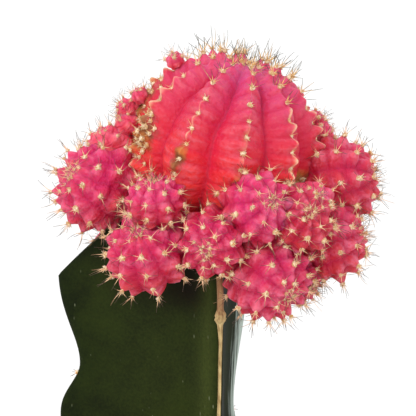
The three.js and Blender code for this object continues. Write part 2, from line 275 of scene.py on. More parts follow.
@dataclass
class Graph:
    """The node graph of a material or a world, which owns it."""

    owner: ID
    shader_name: str = "Principled BSDF"

    def __post_init__(self) -> None:
        """Finds the graph's tree and shader."""
        self.owner.use_nodes = True
        self.tree = self.owner.node_tree
        self.shader = self.tree.nodes[self.shader_name]

    def node(
        self, kind: str, settings: dict[str, object], values: dict[object, object], output: int = 0
    ) -> Signal:
        """Adds a node.

        Args:
            kind: The node's type.
            settings: Its settings, with a ramp's stops under "stops".
            values: Values or signals for its sockets, by name or number.
            output: The number of the output that is used.

        Returns:
            That output.
        """
        made = self.tree.nodes.new(kind)
        for key, setting in settings.items():
            if key == "stops":
                self._set_stops(made.color_ramp, setting)
            else:
                setattr(made, key, setting)
        for key, value in values.items():
            self._feed(made.inputs[key], value)
        return Signal(self, made.outputs[output])

    @staticmethod
    def _set_stops(ramp: ColorRamp, stops: list[tuple[float, Colour]]) -> None:
        """Sets a ramp's stops, each a place and a colour."""
        while len(ramp.elements) < len(stops):
            ramp.elements.new(1.0)
        for element, (place, colour) in zip(ramp.elements, stops):
            element.position = place
            element.color = (*colour, 1)

    def _feed(self, socket: NodeSocket, value: object) -> None:
        """Links a signal to a socket, or sets the socket's own value."""
        if isinstance(value, Signal):
            self.tree.links.new(value.socket, socket)
        elif socket.type == "RGBA":
            socket.default_value = (*value, 1)
        else:
            socket.default_value = value

    def mark(self, mark: Mark) -> Signal:
        """Returns the value of one of the mesh's marks."""
        settings = {"attribute_name": mark.value, "attribute_type": "GEOMETRY"}
        return self.node("ShaderNodeAttribute", settings, {}, output=2)

    def place(self, stretch: tuple[float, float, float] = (1, 1, 1)) -> Signal:
        """Returns the place on the object, with each axis stretched."""
        coordinates = self.node("ShaderNodeTexCoord", {}, {}, output=3)
        return self.node("ShaderNodeMapping", {}, {"Vector": coordinates, "Scale": stretch})

    def grain(self, size: float, detail: float = 3, place: Signal | None = None) -> Signal:
        """Adds a noise pattern.

        Args:
            size: The pattern's size in millimetres.
            detail: How many finer layers it has.
            place: Where it is read, which is the object's own place if left out.

        Returns:
            The pattern, about 0.5.
        """
        values = {"Vector": place or self.place(), "Scale": 1 / (size * MM), "Detail": detail}
        return self.node("ShaderNodeTexNoise", {}, values)

    def flow(self, around: float, down: float) -> Signal:
        """Returns noise about 0.5, with so many cells in a turn about a head and down its side."""
        turns = around / (2 * math.pi)
        east, north, age = (self.mark(mark) for mark in (Mark.EAST, Mark.NORTH, Mark.AGE))
        values = {0: east * turns, 1: north * turns, 2: age * down}
        place = self.node("ShaderNodeCombineXYZ", {}, values)
        return self.node("ShaderNodeTexNoise", {}, {"Vector": place, "Scale": 1.0, "Detail": 3})

    def specks(self, spacing: float, stretch: tuple[float, float, float] = (1, 1, 1)) -> Signal:
        """Returns the distance to the nearest of many scattered points, in shares of their spacing."""
        values = {"Vector": self.place(stretch), "Scale": 1 / (spacing * MM)}
        return self.node("ShaderNodeTexVoronoi", {}, values)

    def mix(self, share: Signal | float, first: object, second: object) -> Signal:
        """Returns a colour mixed from two."""
        settings = {"data_type": "RGBA"}
        return self.node("ShaderNodeMix", settings, {0: share, 6: first, 7: second}, output=2)

    def ramp(self, share: Signal, stops: list[tuple[float, Colour]]) -> Signal:
        """Returns the colour at a share of a row of stops."""
        return self.node("ShaderNodeValToRGB", {"stops": stops}, {"Fac": share})

    def bump(self, height: Signal, depth: float, strength: float = 1.0) -> Signal:
        """Returns the normal of a height pattern that is depth millimetres deep."""
        values = {"Height": height, "Distance": depth * MM, "Strength": strength}
        return self.node("ShaderNodeBump", {}, values)

    def dress(self, **sockets: object) -> None:
        """Feeds the shader's sockets, which are named with underscores for spaces."""
        for name, value in sockets.items():
            self._feed(self.shader.inputs[name.replace("_", " ")], value)


# Finishes


@dataclass(frozen=True)
class Finish:
    """A procedural material, which each kind of finish lays out in its own graph."""

    name: str

    def material(self) -> Material:
        """Returns the finish as a material."""
        graph = Graph(bpy.data.materials.new(self.name))
        self.lay_out(graph)
        return graph.owner

    def lay_out(self, graph: Graph) -> None:
        """Builds the finish's nodes."""
        raise NotImplementedError


@dataclass(frozen=True)
class FleshFinish(Finish):
    """Moist, slightly see-through skin of a grafted head, without any green."""

    crown: Colour
    middle: Colour
    low: Colour
    deep: Colour
    # Coral colour that the tint mark mixes in, also laid as painted shade on a head's lower side.
    blushed_and_shaded: Colour
    # Deep magenta of the furrows: the skin's own mottling, and painted shade in the furrows and creases.
    furrow: Colour
    knob: Colour
    edge: Colour
    # Light pink of the paler patches, partly the skin's own mottling and partly painted highlight.
    pale: Colour
    cork: Colour
    bark: Colour
    knob_share: float
    edge_share: float
    crease_shade_share: float
    fold_around: float
    fold_down: float
    crumple: float
    scatter: float = 4.0

    def lay_out(self, graph: Graph) -> None:
        """Builds the finish's nodes, from the flesh under the skin to the scabs on it."""
        patch = graph.grain(9)
        mottle = graph.grain(2.4, 4)
        fine = graph.grain(1.2, 4)
        fold = graph.flow(self.fold_around, self.fold_down)
        furrow = graph.mark(Mark.FURROW)
        edge = graph.mark(Mark.EDGE)
        age = graph.mark(Mark.AGE) + (patch - 0.5) * 0.3
        # Colour by angle from the crown. The mother's low and deep stops are painted brighter to make up
        # for the shade of the offsets around her base; on the offsets they darken towards the base,
        # partly as painted shade.
        stops = [(0.1, self.crown), (0.45, self.middle), (0.7, self.low), (0.95, self.deep)]
        colour = graph.ramp(age, stops)
        # Coral tint of each head, with painted shade: redder and darker on a head's lower side and on
        # heads in shade.
        colour = graph.mix(graph.mark(Mark.BLUSH_AND_SHADING), colour, self.blushed_and_shaded)
        colour = graph.mix((mottle - 0.35) * 0.35, colour, self.furrow)
        colour = graph.mix(graph.mark(Mark.KNOB) * self.knob_share, colour, self.knob)
        # Paler patches, fewer in the furrows: partly the skin's own mottling, partly painted highlight.
        pale = (fine * 0.45 + patch * 0.4 + fold * 0.5 - furrow * 0.12).between(0.53, 0.84)
        colour = graph.mix(pale * 0.6, colour, self.pale)
        # Painted shade over the skin's own deeper magenta: the furrow colour laid deep in the furrows and
        # along the creases between areoles.
        painted_crease_shade = furrow ** 2.5 * 0.65 + graph.mark(Mark.BAND) * self.crease_shade_share
        colour = graph.mix(painted_crease_shade, colour, self.furrow)
        worn = (graph.grain(5, 3) + edge * 0.25).between(0.5, 0.85)
        colour = graph.mix(edge * worn * self.edge_share, colour, self.edge)
        scab = (graph.mark(Mark.CORK) + (mottle - 0.5) * 0.9).between(0.3, 0.85)
        bark = graph.mix(patch.between(0.4, 0.6), self.cork, self.bark)
        colour = graph.mix(scab * 0.85, colour, bark)
        rough = 0.46 + (mottle - 0.5) * 0.2 + scab * 0.3
        crumple = fine + graph.grain(3.4, 2) * 0.9 + fold * 0.9 + scab * 0.6
        normal = graph.bump(crumple, self.crumple)
        reach = self.scatter * MM
        graph.dress(
            Base_Color=colour, Roughness=rough, Normal=normal, Subsurface_Weight=0.55,
            Subsurface_Radius=(reach, reach * 0.3, reach * 0.25), Subsurface_Scale=1.0,
            Specular_IOR_Level=0.22,
        )


# The mother's low and deep colours are painted light: brighter, to make up for the shade that the offsets
# cast on her lower part.
MOTHER_FLESH = FleshFinish(
    "mother_flesh", crown=linear(214, 84, 142), middle=linear(206, 52, 84), low=linear(222, 42, 44),
    deep=linear(255, 76, 62), blushed_and_shaded=linear(214, 38, 38), furrow=linear(208, 10, 66),
    knob=linear(216, 80, 90), edge=linear(246, 204, 166), pale=linear(222, 108, 124),
    cork=linear(192, 126, 60), bark=linear(118, 82, 38), knob_share=0.3, edge_share=0.95,
    crease_shade_share=0.4, fold_around=20, fold_down=40, crumple=0.6, scatter=6.0,
)
# The offsets' low, deep and coral colours darken towards the base and the lower side: partly their own
# crimson, partly painted shade.
OFFSET_FLESH = FleshFinish(
    "offset_flesh", crown=linear(224, 62, 118), middle=linear(224, 42, 120), low=linear(206, 40, 78),
    deep=linear(186, 34, 52), blushed_and_shaded=linear(192, 40, 50), furrow=linear(186, 8, 66),
    knob=linear(222, 94, 94), edge=linear(240, 150, 150), pale=linear(238, 132, 162),
    cork=linear(150, 84, 50), bark=linear(120, 60, 40), knob_share=0.6, edge_share=0.0,
    crease_shade_share=0.45, fold_around=9, fold_down=14, crumple=0.9,
)
BUD_FLESH = replace(
    OFFSET_FLESH, name="bud_flesh", crown=linear(240, 88, 140), middle=linear(236, 76, 126),
    low=linear(226, 74, 104), deep=linear(214, 66, 84), blushed_and_shaded=linear(242, 104, 104),
    furrow=linear(222, 44, 92), knob=linear(246, 128, 130), scatter=1.6,
)


@dataclass(frozen=True)
class WoolFinish(Finish):
    """Felted wool of the areoles, browner where it is old."""

    name: str = "areole_wool"
    paler: Colour = linear(253, 236, 204)
    worn: Colour = linear(208, 156, 88)

    def lay_out(self, graph: Graph) -> None:
        """Builds the finish's nodes."""
        tangle = graph.grain(0.5, 4)
        share = (tangle * 1.2 + graph.mark(Mark.TINT) * 0.7).between(0.5, 1.3)
        colour = graph.mix(share, self.paler, self.worn)
        normal = graph.bump(graph.grain(0.16, 3), 0.15, 0.8)
        graph.dress(Base_Color=colour, Roughness=0.95, Normal=normal, Sheen_Weight=0.25)


@dataclass(frozen=True)
class SpineFinish(Finish):
    """Horny spines, pale at the root and grey-brown at the tip, with dark ones among them."""

    name: str = "straw_spine"
    root: Colour = linear(250, 214, 176)
    shaft: Colour = linear(246, 198, 158)
    tip: Colour = linear(190, 146, 104)
    dark_root: Colour = linear(250, 206, 160)
    dark_tip: Colour = linear(72, 50, 36)

    def lay_out(self, graph: Graph) -> None:
        """Builds the finish's nodes."""
        share = graph.mark(Mark.ALONG) + (graph.grain(3) - 0.5) * 0.5
        pale = graph.ramp(share, [(0.05, self.root), (0.45, self.shaft), (0.95, self.tip)])
        dark = graph.ramp(share, [(0.32, self.dark_root), (0.58, self.dark_tip)])
        colour = graph.mix(graph.mark(Mark.TINT).between(0.35, 0.65), pale, dark)
        graph.dress(Base_Color=colour, Roughness=0.5)


GOLDEN_SPINE = SpineFinish(
    "golden_spine", root=linear(255, 232, 170), shaft=linear(236, 196, 126), tip=linear(170, 138, 88),
    dark_root=linear(240, 200, 128), dark_tip=linear(70, 64, 44),
)


@dataclass(frozen=True)
class StemFinish(Finish):
    """Waxy dark green skin of the rootstock, with pale scratches, a grey bloom with painted sheen, old
    callus, painted light on a flank and a ridge, and painted shadow under the graft.
    """

    name: str = "waxy_stem"
    skin: Colour = linear(34, 44, 12)
    deep: Colour = linear(11, 18, 5)
    # Lighter green laid as painted light where light falls on a flank and a ridge of the stem.
    paler: Colour = linear(70, 80, 34)
    scratch: Colour = linear(140, 148, 116)
    callus: Colour = linear(112, 98, 70)
    # Streaked grey of the face beside the pared wing: partly the wax's own bloom, partly painted sheen.
    bloom: Colour = linear(196, 214, 204)
    # Painted shadow: near-black colour laid on the stem under the graft, where the offsets shade it.
    painted_shadow: Colour = linear(20, 8, 6)

    def lay_out(self, graph: Graph) -> None:
        """Builds the finish's nodes."""
        cloud = graph.grain(14, 3)
        fine = graph.grain(0.8, 3)
        streak = graph.grain(1.0, 4, graph.place((1, 1, 0.06)))
        colour = graph.mix((cloud * 0.8 + fine * 0.3).between(0.3, 0.8), self.deep, self.skin)
        # Painted light: the lit flank and ridge are painted a lighter green and get more scratches.
        lit = graph.mark(Mark.BLUSH_AND_SHADING)
        colour = graph.mix(lit * (fine + 0.4), colour, self.paler)
        scratched = (graph.grain(6) + lit * 0.3).between(0.56, 0.7)
        marks = (1 - graph.specks(2.2, (1.3, 1.3, 0.4))).between(0.84, 0.94) * scratched
        colour = graph.mix(marks * 0.6, colour, self.scratch)
        # Grey bloom with streaks, partly the wax's own bloom and partly painted sheen.
        band = graph.mark(Mark.BAND)
        bloom = (band + (streak - 0.5) * 2.2 + (cloud - 0.5) * 0.3).between(0.25, 1.0)
        colour = graph.mix(bloom * band.between(0.02, 0.3), colour, self.bloom)
        # Painted shadow under the graft, carried by the tint mark.
        colour = graph.mix(graph.mark(Mark.TINT), colour, self.painted_shadow)
        worn = (graph.mark(Mark.CORK) + (graph.grain(3, 5) - 0.5) * 1.1).between(0.45, 0.8)
        colour = graph.mix(worn, colour, self.callus)
        rough = 0.6 + (cloud - 0.5) * 0.25 + worn * 0.3
        normal = graph.bump(streak * 0.3 + fine * 0.4 + worn * 0.8, 0.25, 0.6)
        graph.dress(Base_Color=colour, Roughness=rough, Normal=normal, Specular_IOR_Level=0.06)


@dataclass(frozen=True)
class CorkFinish(Finish):
    """Dry, fibrous cork of the strip that dried along the pared wing."""

    name: str = "dry_cork"
    pale: Colour = linear(210, 184, 128)
    dark: Colour = linear(140, 108, 62)
    ruddy: Colour = linear(156, 98, 66)

    def lay_out(self, graph: Graph) -> None:
        """Builds the finish's nodes."""
        fibre = graph.grain(0.6, 5, graph.place((1, 1, 0.1)))
        blotch = graph.grain(4, 4)
        colour = graph.mix((fibre * 0.6 + blotch * 0.5).between(0.45, 0.72), self.pale, self.dark)
        colour = graph.mix(graph.mark(Mark.TINT) * (fibre + 0.2), colour, self.ruddy)
        normal = graph.bump(fibre + blotch * 0.5, 0.35, 0.9)
        graph.dress(Base_Color=colour, Roughness=0.82, Normal=normal)


@dataclass(frozen=True)
class SoilFinish(Finish):
    """Peaty soil, each crumb with a tint of its own."""

    name: str = "potting_soil"
    peat: Colour = linear(44, 31, 22)
    bark: Colour = linear(98, 68, 44)
    grit: Colour = linear(214, 208, 196)

    def lay_out(self, graph: Graph) -> None:
        """Builds the finish's nodes."""
        fleck = graph.grain(1.1, 5)
        tint = graph.mark(Mark.TINT) + (fleck - 0.5) * 0.35
        stops = [(0.15, self.peat), (0.6, self.bark), (0.86, self.bark), (0.93, self.grit)]
        colour = graph.ramp(tint, stops)
        normal = graph.bump(fleck + graph.grain(0.35, 3) * 0.5, 0.5, 0.9)
        graph.dress(Base_Color=colour, Roughness=0.94, Normal=normal)


@dataclass(frozen=True)
class ClayFinish(Finish):
    """Unglazed fired clay with a lime bloom that damp has left."""

    name: str = "fired_clay"
    clay: Colour = linear(187, 104, 68)
    dark: Colour = linear(150, 78, 50)
    bloom: Colour = linear(214, 176, 148)

    def lay_out(self, graph: Graph) -> None:
        """Builds the finish's nodes."""
        cloud = graph.grain(22, 5)
        grit = graph.grain(0.9, 4)
        damp = (graph.mark(Mark.TINT) + (graph.grain(9, 5) - 0.5) * 1.2).between(0.45, 1.0)
        colour = graph.mix(cloud.between(0.3, 0.8) * 0.8, self.clay, self.dark)
        colour = graph.mix(damp * 0.6, colour, self.bloom)
        colour = graph.mix((grit - 0.5) * 0.5, colour, self.dark)
        rings = graph.grain(1.6, 3, graph.place((0.05, 0.05, 1)))
        normal = graph.bump(grit * 0.6 + rings * 0.5, 0.3, 0.7)
        graph.dress(Base_Color=colour, Roughness=0.88 - damp * 0.05, Normal=normal)


@dataclass(frozen=True)
class FloorFinish(Finish):
    """Plain pale floor of the studio."""

    name: str = "pale_floor"
    paper: Colour = (0.86, 0.86, 0.86)

    def lay_out(self, graph: Graph) -> None:
        """Builds the finish's nodes."""
        graph.dress(Base_Color=self.paper, Roughness=0.9)


# Grafted heads


@dataclass(frozen=True)
class Relief:
    """Forms that stand out of a head's ribs, each in millimetres for a head of 10 mm radius or more."""

    scallop: float
    lip: float
    young_knob: float
    old_knob: float
    crease: float
    crease_row: float
    pillow: float
    lump: float
    wrinkle: float
    flank_bend: float


@dataclass(frozen=True)
class Skin:
    """A point of a head's skin, and how strongly each feature shows there."""

    at: Vector
    marks: dict[Mark, float]


@dataclass(frozen=True)
class Scab:
    """A corky patch on an old rib: its rib, angle from the crown, spread, and how deep it shows."""

    rib: float
    polar: float
    rib_spread: float
    polar_spread: float
    strength: float

    def depth(self, polar: float, share: float, ribs: int) -> float:
        """Returns how corky the skin is at a place on a head with so many ribs."""
        aside = (share - self.rib + ribs / 2) % ribs - ribs / 2
        below = polar - self.polar
        return self.strength * bell(aside, self.rib_spread) * bell(below, self.polar_spread)


@dataclass(frozen=True)
class Areole:
    """A woolly cushion on a rib, and the way that it faces."""

    at: Vector
    turn: Matrix
    polar: float
    girth: float
    young: float


@dataclass(frozen=True)
class Thicket:
    """A crowd of extra areoles: the rib and angle of its middle, its spread, and the areoles' size."""

    rib: float
    polar: float
    rib_spread: float
    polar_spread: float
    count: int
    girth: float = 0.7

    GIRTH_RANGE = (0.55, 1.5)

    def spots(self) -> list[tuple[float, float, float]]:
        """Returns the crowd's places, each an angle from the crown, a place in ribs and a size."""
        return [
            (
                self.polar + self.polar_spread * (2 * ((1 - GOLDEN) * number % 1) - 1),
                self.rib + self.rib_spread * (2 * ((number + 0.5) / self.count) - 1),
                self.girth * blend(*self.GIRTH_RANGE, GOLDEN * number % 1),
            )
            for number in range(self.count)
        ]


MOTHER_RELIEF = Relief(
    scallop=0.95, lip=0.5, young_knob=1.9, old_knob=0.0, crease=0.24, crease_row=0.14,
    pillow=0.36, lump=0.3, wrinkle=0.16, flank_bend=0.35,
)
OFFSET_RELIEF = Relief(
    scallop=0.0, lip=0.0, young_knob=1.2, old_knob=1.45, crease=0.44, crease_row=0.5,
    pillow=0.2, lump=0.7, wrinkle=0.34, flank_bend=0.1,
)


@dataclass(frozen=True)
class Head:
    """A ribbed globe of the scion: the mother, or one of the offsets that ring her."""

    centre: Vector
    radius: float
    face_around: float
    face_up: float
    squat: float = 0.92
    ribs: int = 7
    rib_turn: float = 0.0
    furrow: float = 0.17
    areole_step: float = 20.0
    row_start: float = 0.0
    row_lag: float = GOLDEN
    crown: float = 15.0
    reach: float = 118.0
    young: tuple[float, float] = (16.0, 44.0)
    relief: Relief = OFFSET_RELIEF
    scabs: tuple[Scab, ...] = ()
    rims: tuple[float, ...] = (0.0,)
    thickets: tuple[Thicket, ...] = ()
    rib_steps: int = 12
    rings: int = 44
    # Coral tint of the head; heads that sit in shade are given more, as painted shade.
    blush_and_shading: float = 0.3
    pull: Vector = Vector()
    seed: float = 0.0

    FADE = (4.0, 34.0)
    DIP = 0.05
    CROWDING = 1.4
    CREASE_WIDTH = 0.15
    CREASE_SAG = 0.22
    CREASE_STRAY = 0.5
    UNEVENNESS = 0.7
    LIP_WIDTH = 0.05
    WRINKLE_SIZE = 2.4
    # Painted shade: how much redder and darker a head is painted towards its lower side.
    UNDERSIDE_SHADE = 0.35
    MEANDER = 0.1
    LUMP_SCALE = 1.9
    FULL_SIZE = 12.0
    LARGEST_SHRINK = 1.15
    AGE_SPAN = 120.0
    COVER = 0.97
    PULL_START = 0.35
    CROWN_RING = 0.45

    @cached_property
    def turned(self) -> Matrix:
        """The turn from the upright head to the way it faces."""
        return UP.rotation_difference(facing(self.face_around, self.face_up)).to_matrix()

    @cached_property
    def shrink(self) -> float:
        """The share of the full relief that a head of this size has."""
        return min(self.radius / self.FULL_SIZE, self.LARGEST_SHRINK)

    def _phase(self, rib: int) -> float:
        """Returns how far down its rib the first areole sits, in steps."""
        return (self.row_start + self.row_lag * (rib % self.ribs)) % 1

    def skin(self, polar: float, share: float) -> Skin:
        """Finds a point of the skin.

        Args:
            polar: Angle from the crown.
            share: Place around the head, counted in ribs: whole on a crest, half in a furrow.

        Returns:
            The point, and the features there.
        """
        relief = self.relief
        fade = ease(polar, *self.FADE)
        aged = ease(polar, *self.young)
        furrow = 2 * abs(share - round(share))
        crest = 1 - furrow
        rib = round(share)
        row = polar / self.areole_step - self._phase(rib)
        wave = math.cos(2 * math.pi * row)
        stray = noise.noise(Vector((share * 2.3, row * 1.1, self.seed)))
        seam = row - relief.crease_row - self.CREASE_SAG * furrow + self.CREASE_STRAY * stray * furrow
        band = bell(seam - round(seam), self.CREASE_WIDTH) * fade * (1 - furrow ** 3)
        rim = self.rims[rib % len(self.rims)]
        edge = min(rim, 1) * bell(furrow, self.LIP_WIDTH * (0.3 + 0.7 * rim)) * fade * aged
        uneven = 1 + self.UNEVENNESS * noise.noise(Vector((rib * 3.3, round(row) * 1.7, self.seed)))
        hump = (crest * (0.5 + 0.5 * wave)) ** 1.4 * uneven
        wander = noise.noise(Vector((share * 1.7, polar / 26, self.seed))) * self.MEANDER * fade
        spot = facing(self.rib_turn + (share + wander) * 360 / self.ribs, 0)
        slant = math.radians(polar)
        globe = Vector((spot.x, spot.y, 0)) * math.sin(slant) + UP * math.cos(slant)

        depth = self.furrow * fade * blend(furrow, furrow ** 2, relief.flank_bend)
        knob = blend(relief.young_knob, relief.old_knob, aged) * ease(polar, 2, 12)
        proud = knob * hump
        proud -= relief.scallop * wave * crest ** 4 * fade * aged
        proud += relief.lip * edge * (0.5 - 0.5 * wave)
        proud -= relief.crease * band
        proud += relief.pillow * 4 * furrow * crest * (1 - band) * fade
        proud += relief.lump * noise.noise(globe * self.LUMP_SCALE + Vector((self.seed, 0, 0)))
        finer = globe * self.radius / self.WRINKLE_SIZE
        proud += relief.wrinkle * noise.noise(finer + Vector((0, self.seed, 0)))
        length = self.radius * (1 - depth) + proud * self.shrink
        local = Vector((globe.x, globe.y, globe.z * self.squat)) * length
        local.z -= self.radius * self.DIP * (1 - fade)
        at = self.turned @ local
        if self.pull.length:
            rootward = at.normalized().dot(self.pull.normalized())
            at += self.pull * ease(rootward, self.PULL_START, 1.0)
        marks = {Mark.FURROW: furrow * fade, Mark.BAND: band, Mark.EDGE: edge, Mark.KNOB: hump}
        return Skin(self.centre + at, marks)

    def _share(self, step: int) -> float:
        """Returns the place around, in ribs, of a step, with steps crowded towards the crests."""
        rib, part = divmod(step, self.rib_steps)
        half = 2 * part / self.rib_steps
        if half <= 1:
            return rib + 0.5 * half ** self.CROWDING
        return rib + 1 - 0.5 * (2 - half) ** self.CROWDING

    def build(self) -> Mesh:
        """Returns the head's skin as a mesh that carries the flesh marks."""
        bm = start_mesh(*FLESH_MARKS)
        around = self.ribs * self.rib_steps
        bmesh.ops.create_uvsphere(bm, u_segments=around, v_segments=self.rings, radius=1)
        layers = {mark: layer_of(bm, mark) for mark in FLESH_MARKS}
        for vert in bm.verts:
            ring = round(polar_of(vert.co) * self.rings / 180)
            polar = ring * 180 / self.rings
            step = round(math.degrees(math.atan2(vert.co.y, vert.co.x)) * around / 360) % around
            share = self._share(step)
            skin = self.skin(polar, share)
            vert.co = skin.at
            for mark, value in self._marks(skin, polar, share).items():
                vert[layers[mark]] = value
        return close_mesh(bm, "head_skin")

    def _marks(self, skin: Skin, polar: float, share: float) -> dict[Mark, float]:
        """Returns what the material has to know of a point of the skin."""
        sunk = (self.centre.z - skin.at.z) / self.radius
        spin = 2 * math.pi * share / self.ribs
        scabs = [scab.depth(polar, share, self.ribs) for scab in self.scabs]
        return {
            **skin.marks,
            Mark.AGE: polar / self.AGE_SPAN,
            # Painted shade: the coral tint grows towards the head's lower side.
            Mark.BLUSH_AND_SHADING: min(max(self.blush_and_shading + self.UNDERSIDE_SHADE * sunk, 0.0), 1.0),
            Mark.EAST: math.cos(spin),
            Mark.NORTH: math.sin(spin),
            Mark.CORK: max(scabs, default=0),
        }

    def covers(self, point: Vector) -> bool:
        """Tells whether a point of another head lies inside this one."""
        return (point - self.centre).length < self.radius * self.COVER

    def areoles(self) -> list[Areole]:
        """Returns the head's areoles, row by row from the crown."""
        found = []
        spots = [(self.crown * self.CROWN_RING, rib + 0.5, 1.0) for rib in range(0, self.ribs, 2)]
        for rib in range(self.ribs):
            for row in range(int(self.reach / self.areole_step) + 1):
                polar = (row + self._phase(rib)) * self.areole_step
                if self.crown <= polar <= self.reach:
                    spots.append((polar, rib, 1.0))
        spots += [spot for thicket in self.thickets for spot in thicket.spots()]
        for polar, share, girth in spots:
            at = self.skin(polar, share).at
            above = self.skin(max(polar - 2, 0.1), share).at
            outward = (at - self.centre).normalized()
            young = 1 - ease(polar, *self.young)
            found.append(Areole(at, upright(outward, above - at), polar, self.shrink * girth, young))
        return found


FLESH_MARKS = (
    Mark.AGE, Mark.FURROW, Mark.BAND, Mark.EDGE, Mark.CORK, Mark.BLUSH_AND_SHADING, Mark.EAST, Mark.NORTH,
    Mark.KNOB,
)


@dataclass(frozen=True)
class SpineBunch:
    """A rule for the spines that spread from one areole."""

    count: int
    length: float
    lift: float
    lift_spread: float
    thickness: float = 0.17
    curl: float = 0.22
    length_spread: float = 0.42
    shade: tuple[float, float] = (0.0, 1.0)

    SIDES = 5
    CUTS = 3
    TIP_SHARE = 0.45
    ROOT = 0.3
    DROOP = 0.12

    def build(self, chance: random.Random) -> Mesh:
        """Makes one bunch at the origin, with its areole facing +Z.

        Args:
            chance: The source of its small differences.

        Returns:
            The bunch as a template mesh.
        """
        bm = start_mesh(Mark.ALONG, Mark.TINT)
        for number in range(self.count):
            spin = math.radians(360 * (number + chance.uniform(-0.3, 0.3)) / self.count)
            lift = math.radians(self.lift + chance.uniform(-1, 1) * self.lift_spread)
            length = self.length * (1 + chance.uniform(-1, 1) * self.length_spread)
            curl = chance.uniform(-1, 1) * self.curl
            turn = Matrix.Rotation(spin, 4, "Z") @ Matrix.Rotation(math.pi / 2 - lift, 4, "Y")
            self._spine(bm, length, turn, curl, chance.uniform(*self.shade))
        return close_mesh(bm, "spine_bunch")

    def _spine(self, bm: BMesh, length: float, turn: Matrix, curl: float, shade: float) -> None:
        """Adds one curved, tapering spine, turned from upright to the way it points."""
        along, tint = layer_of(bm, Mark.ALONG), layer_of(bm, Mark.TINT)
        first = len(bm.verts)
        bmesh.ops.create_cone(
            bm, cap_ends=True, segments=self.SIDES, depth=length,
            radius1=self.thickness, radius2=self.thickness * self.TIP_SHARE,
        )
        bm.verts.ensure_lookup_table()
        shaft = {edge for vert in bm.verts[first:] for edge in vert.link_edges}
        long_edges = [edge for edge in shaft if rise_of(edge) > length / 2]
        bmesh.ops.subdivide_edges(bm, edges=long_edges, cuts=self.CUTS)
        bm.verts.ensure_lookup_table()
        made = bm.verts[first:]
        for vert in made:
            share = vert.co.z / length + 0.5
            vert[along] = share
            vert[tint] = shade
            vert.co.x += length * (curl - self.DROOP) * share * share
            vert.co.z += length / 2 + self.ROOT
        bmesh.ops.transform(bm, matrix=turn, verts=made)


@dataclass(frozen=True)
class WoolTuft:
    """A rule for the felted cushion of an areole."""

    radius: float = 0.8
    flatness: float = 0.62
    raggedness: float = 0.4
    hairs: int = 7
    hair_length: float = 1.3
    hair_root: float = 0.2

    HAIR_TIP = 0.05

    def build(self, chance: random.Random) -> Mesh:
        """Makes one tuft at the origin, facing +Z, and returns it as a template mesh."""
        bm = start_mesh(Mark.TINT)
        tint = layer_of(bm, Mark.TINT)
        bmesh.ops.create_uvsphere(bm, u_segments=8, v_segments=4, radius=1)
        for vert in bm.verts:
            vert.co *= self.radius * (1 + self.raggedness * chance.uniform(-1, 1))
            vert.co.z *= self.flatness
        for number in range(self.hairs):
            spin = math.radians(360 * (number + chance.uniform(-0.4, 0.4)) / self.hairs)
            lean = Matrix.Rotation(math.radians(chance.uniform(25, 75)), 4, "Y")
            length = self.hair_length * chance.uniform(0.7, 1.2)
            matrix = Matrix.Rotation(spin, 4, "Z") @ lean @ Matrix.Translation((0, 0, length / 2))
            bmesh.ops.create_cone(
                bm, cap_ends=True, segments=3, radius1=self.hair_root, radius2=self.HAIR_TIP,
                depth=length, matrix=matrix,
            )
        for vert in bm.verts:
            vert[tint] = chance.random()
        return close_mesh(bm, "wool_tuft")


@dataclass(frozen=True)
class OffsetPlace:
    """Where an offset sits about the mother, its size, where its crown faces, and how coral it is, which
    is partly its own tint and partly painted shade for heads in shade.
    """

    around: float
    out: float
    rise: float
    radius: float
    face_around: float
    face_up: float
    blush_and_shading: float


OFFSET_PLACES = tuple(OffsetPlace(*row) for row in (
    (-84, 37.6, -11.1, 12.8, -50, 28, 0.3), (-90, 34.8, 1.2, 5.8, -50, 50, 0.7),
    (-92, 29, 7, 3.8, -70, 40, 0.6), (-38, 32, -12, 8.2, -10, 70, 0.05),
    (-43.4, 31.7, -27, 12, -22, 45, 0.4), (-7, 30, -23, 9.4, -12, -5, 0.5),
    (18, 28.5, -13.4, 10.4, 32, 20, 0), (39.5, 34, -17.4, 8.6, 20, 30, 0.9),
    (87, 33.2, -10, 13.2, 80, 10, 0.8), (67, 33.1, -25.2, 11.6, 75, 12, 0.8),
    (28, 26.7, -34, 12.3, 35, -20, 0.4), (50, 28, -36, 6.8, 50, -20, 0.5),
    (54, 33, -12.4, 5, 10, 30, 0.3), (-94, 29, 11.6, 3.3, -70, 40, 0.5),
    (-92, 25, 15.6, 2.7, -60, 50, 0.3), (-90, 14.4, 26, 2.8, -40, 60, 0.2),
    (106, 28.5, 7.2, 3.4, 80, 35, 0.3), (98, 30, 4, 3.5, 70, 30, 0.4),
    (113, 35, -15.4, 11.6, 115, 10, 0.45), (138, 33, -8.4, 9.4, 142, 32, 0.2),
    (134, 32, -29.4, 11, 134, -14, 0.5), (164, 34, -14.4, 12, 168, 14, 0.3),
    (-166, 32, -10.4, 10.6, -162, 32, 0.15), (-172, 30, -31.4, 11.4, -172, -18, 0.45),
    (-138, 33, -13.4, 12.4, -132, 20, 0.3), (-123, 34, -28.4, 11.6, -120, -10, 0.5),
))

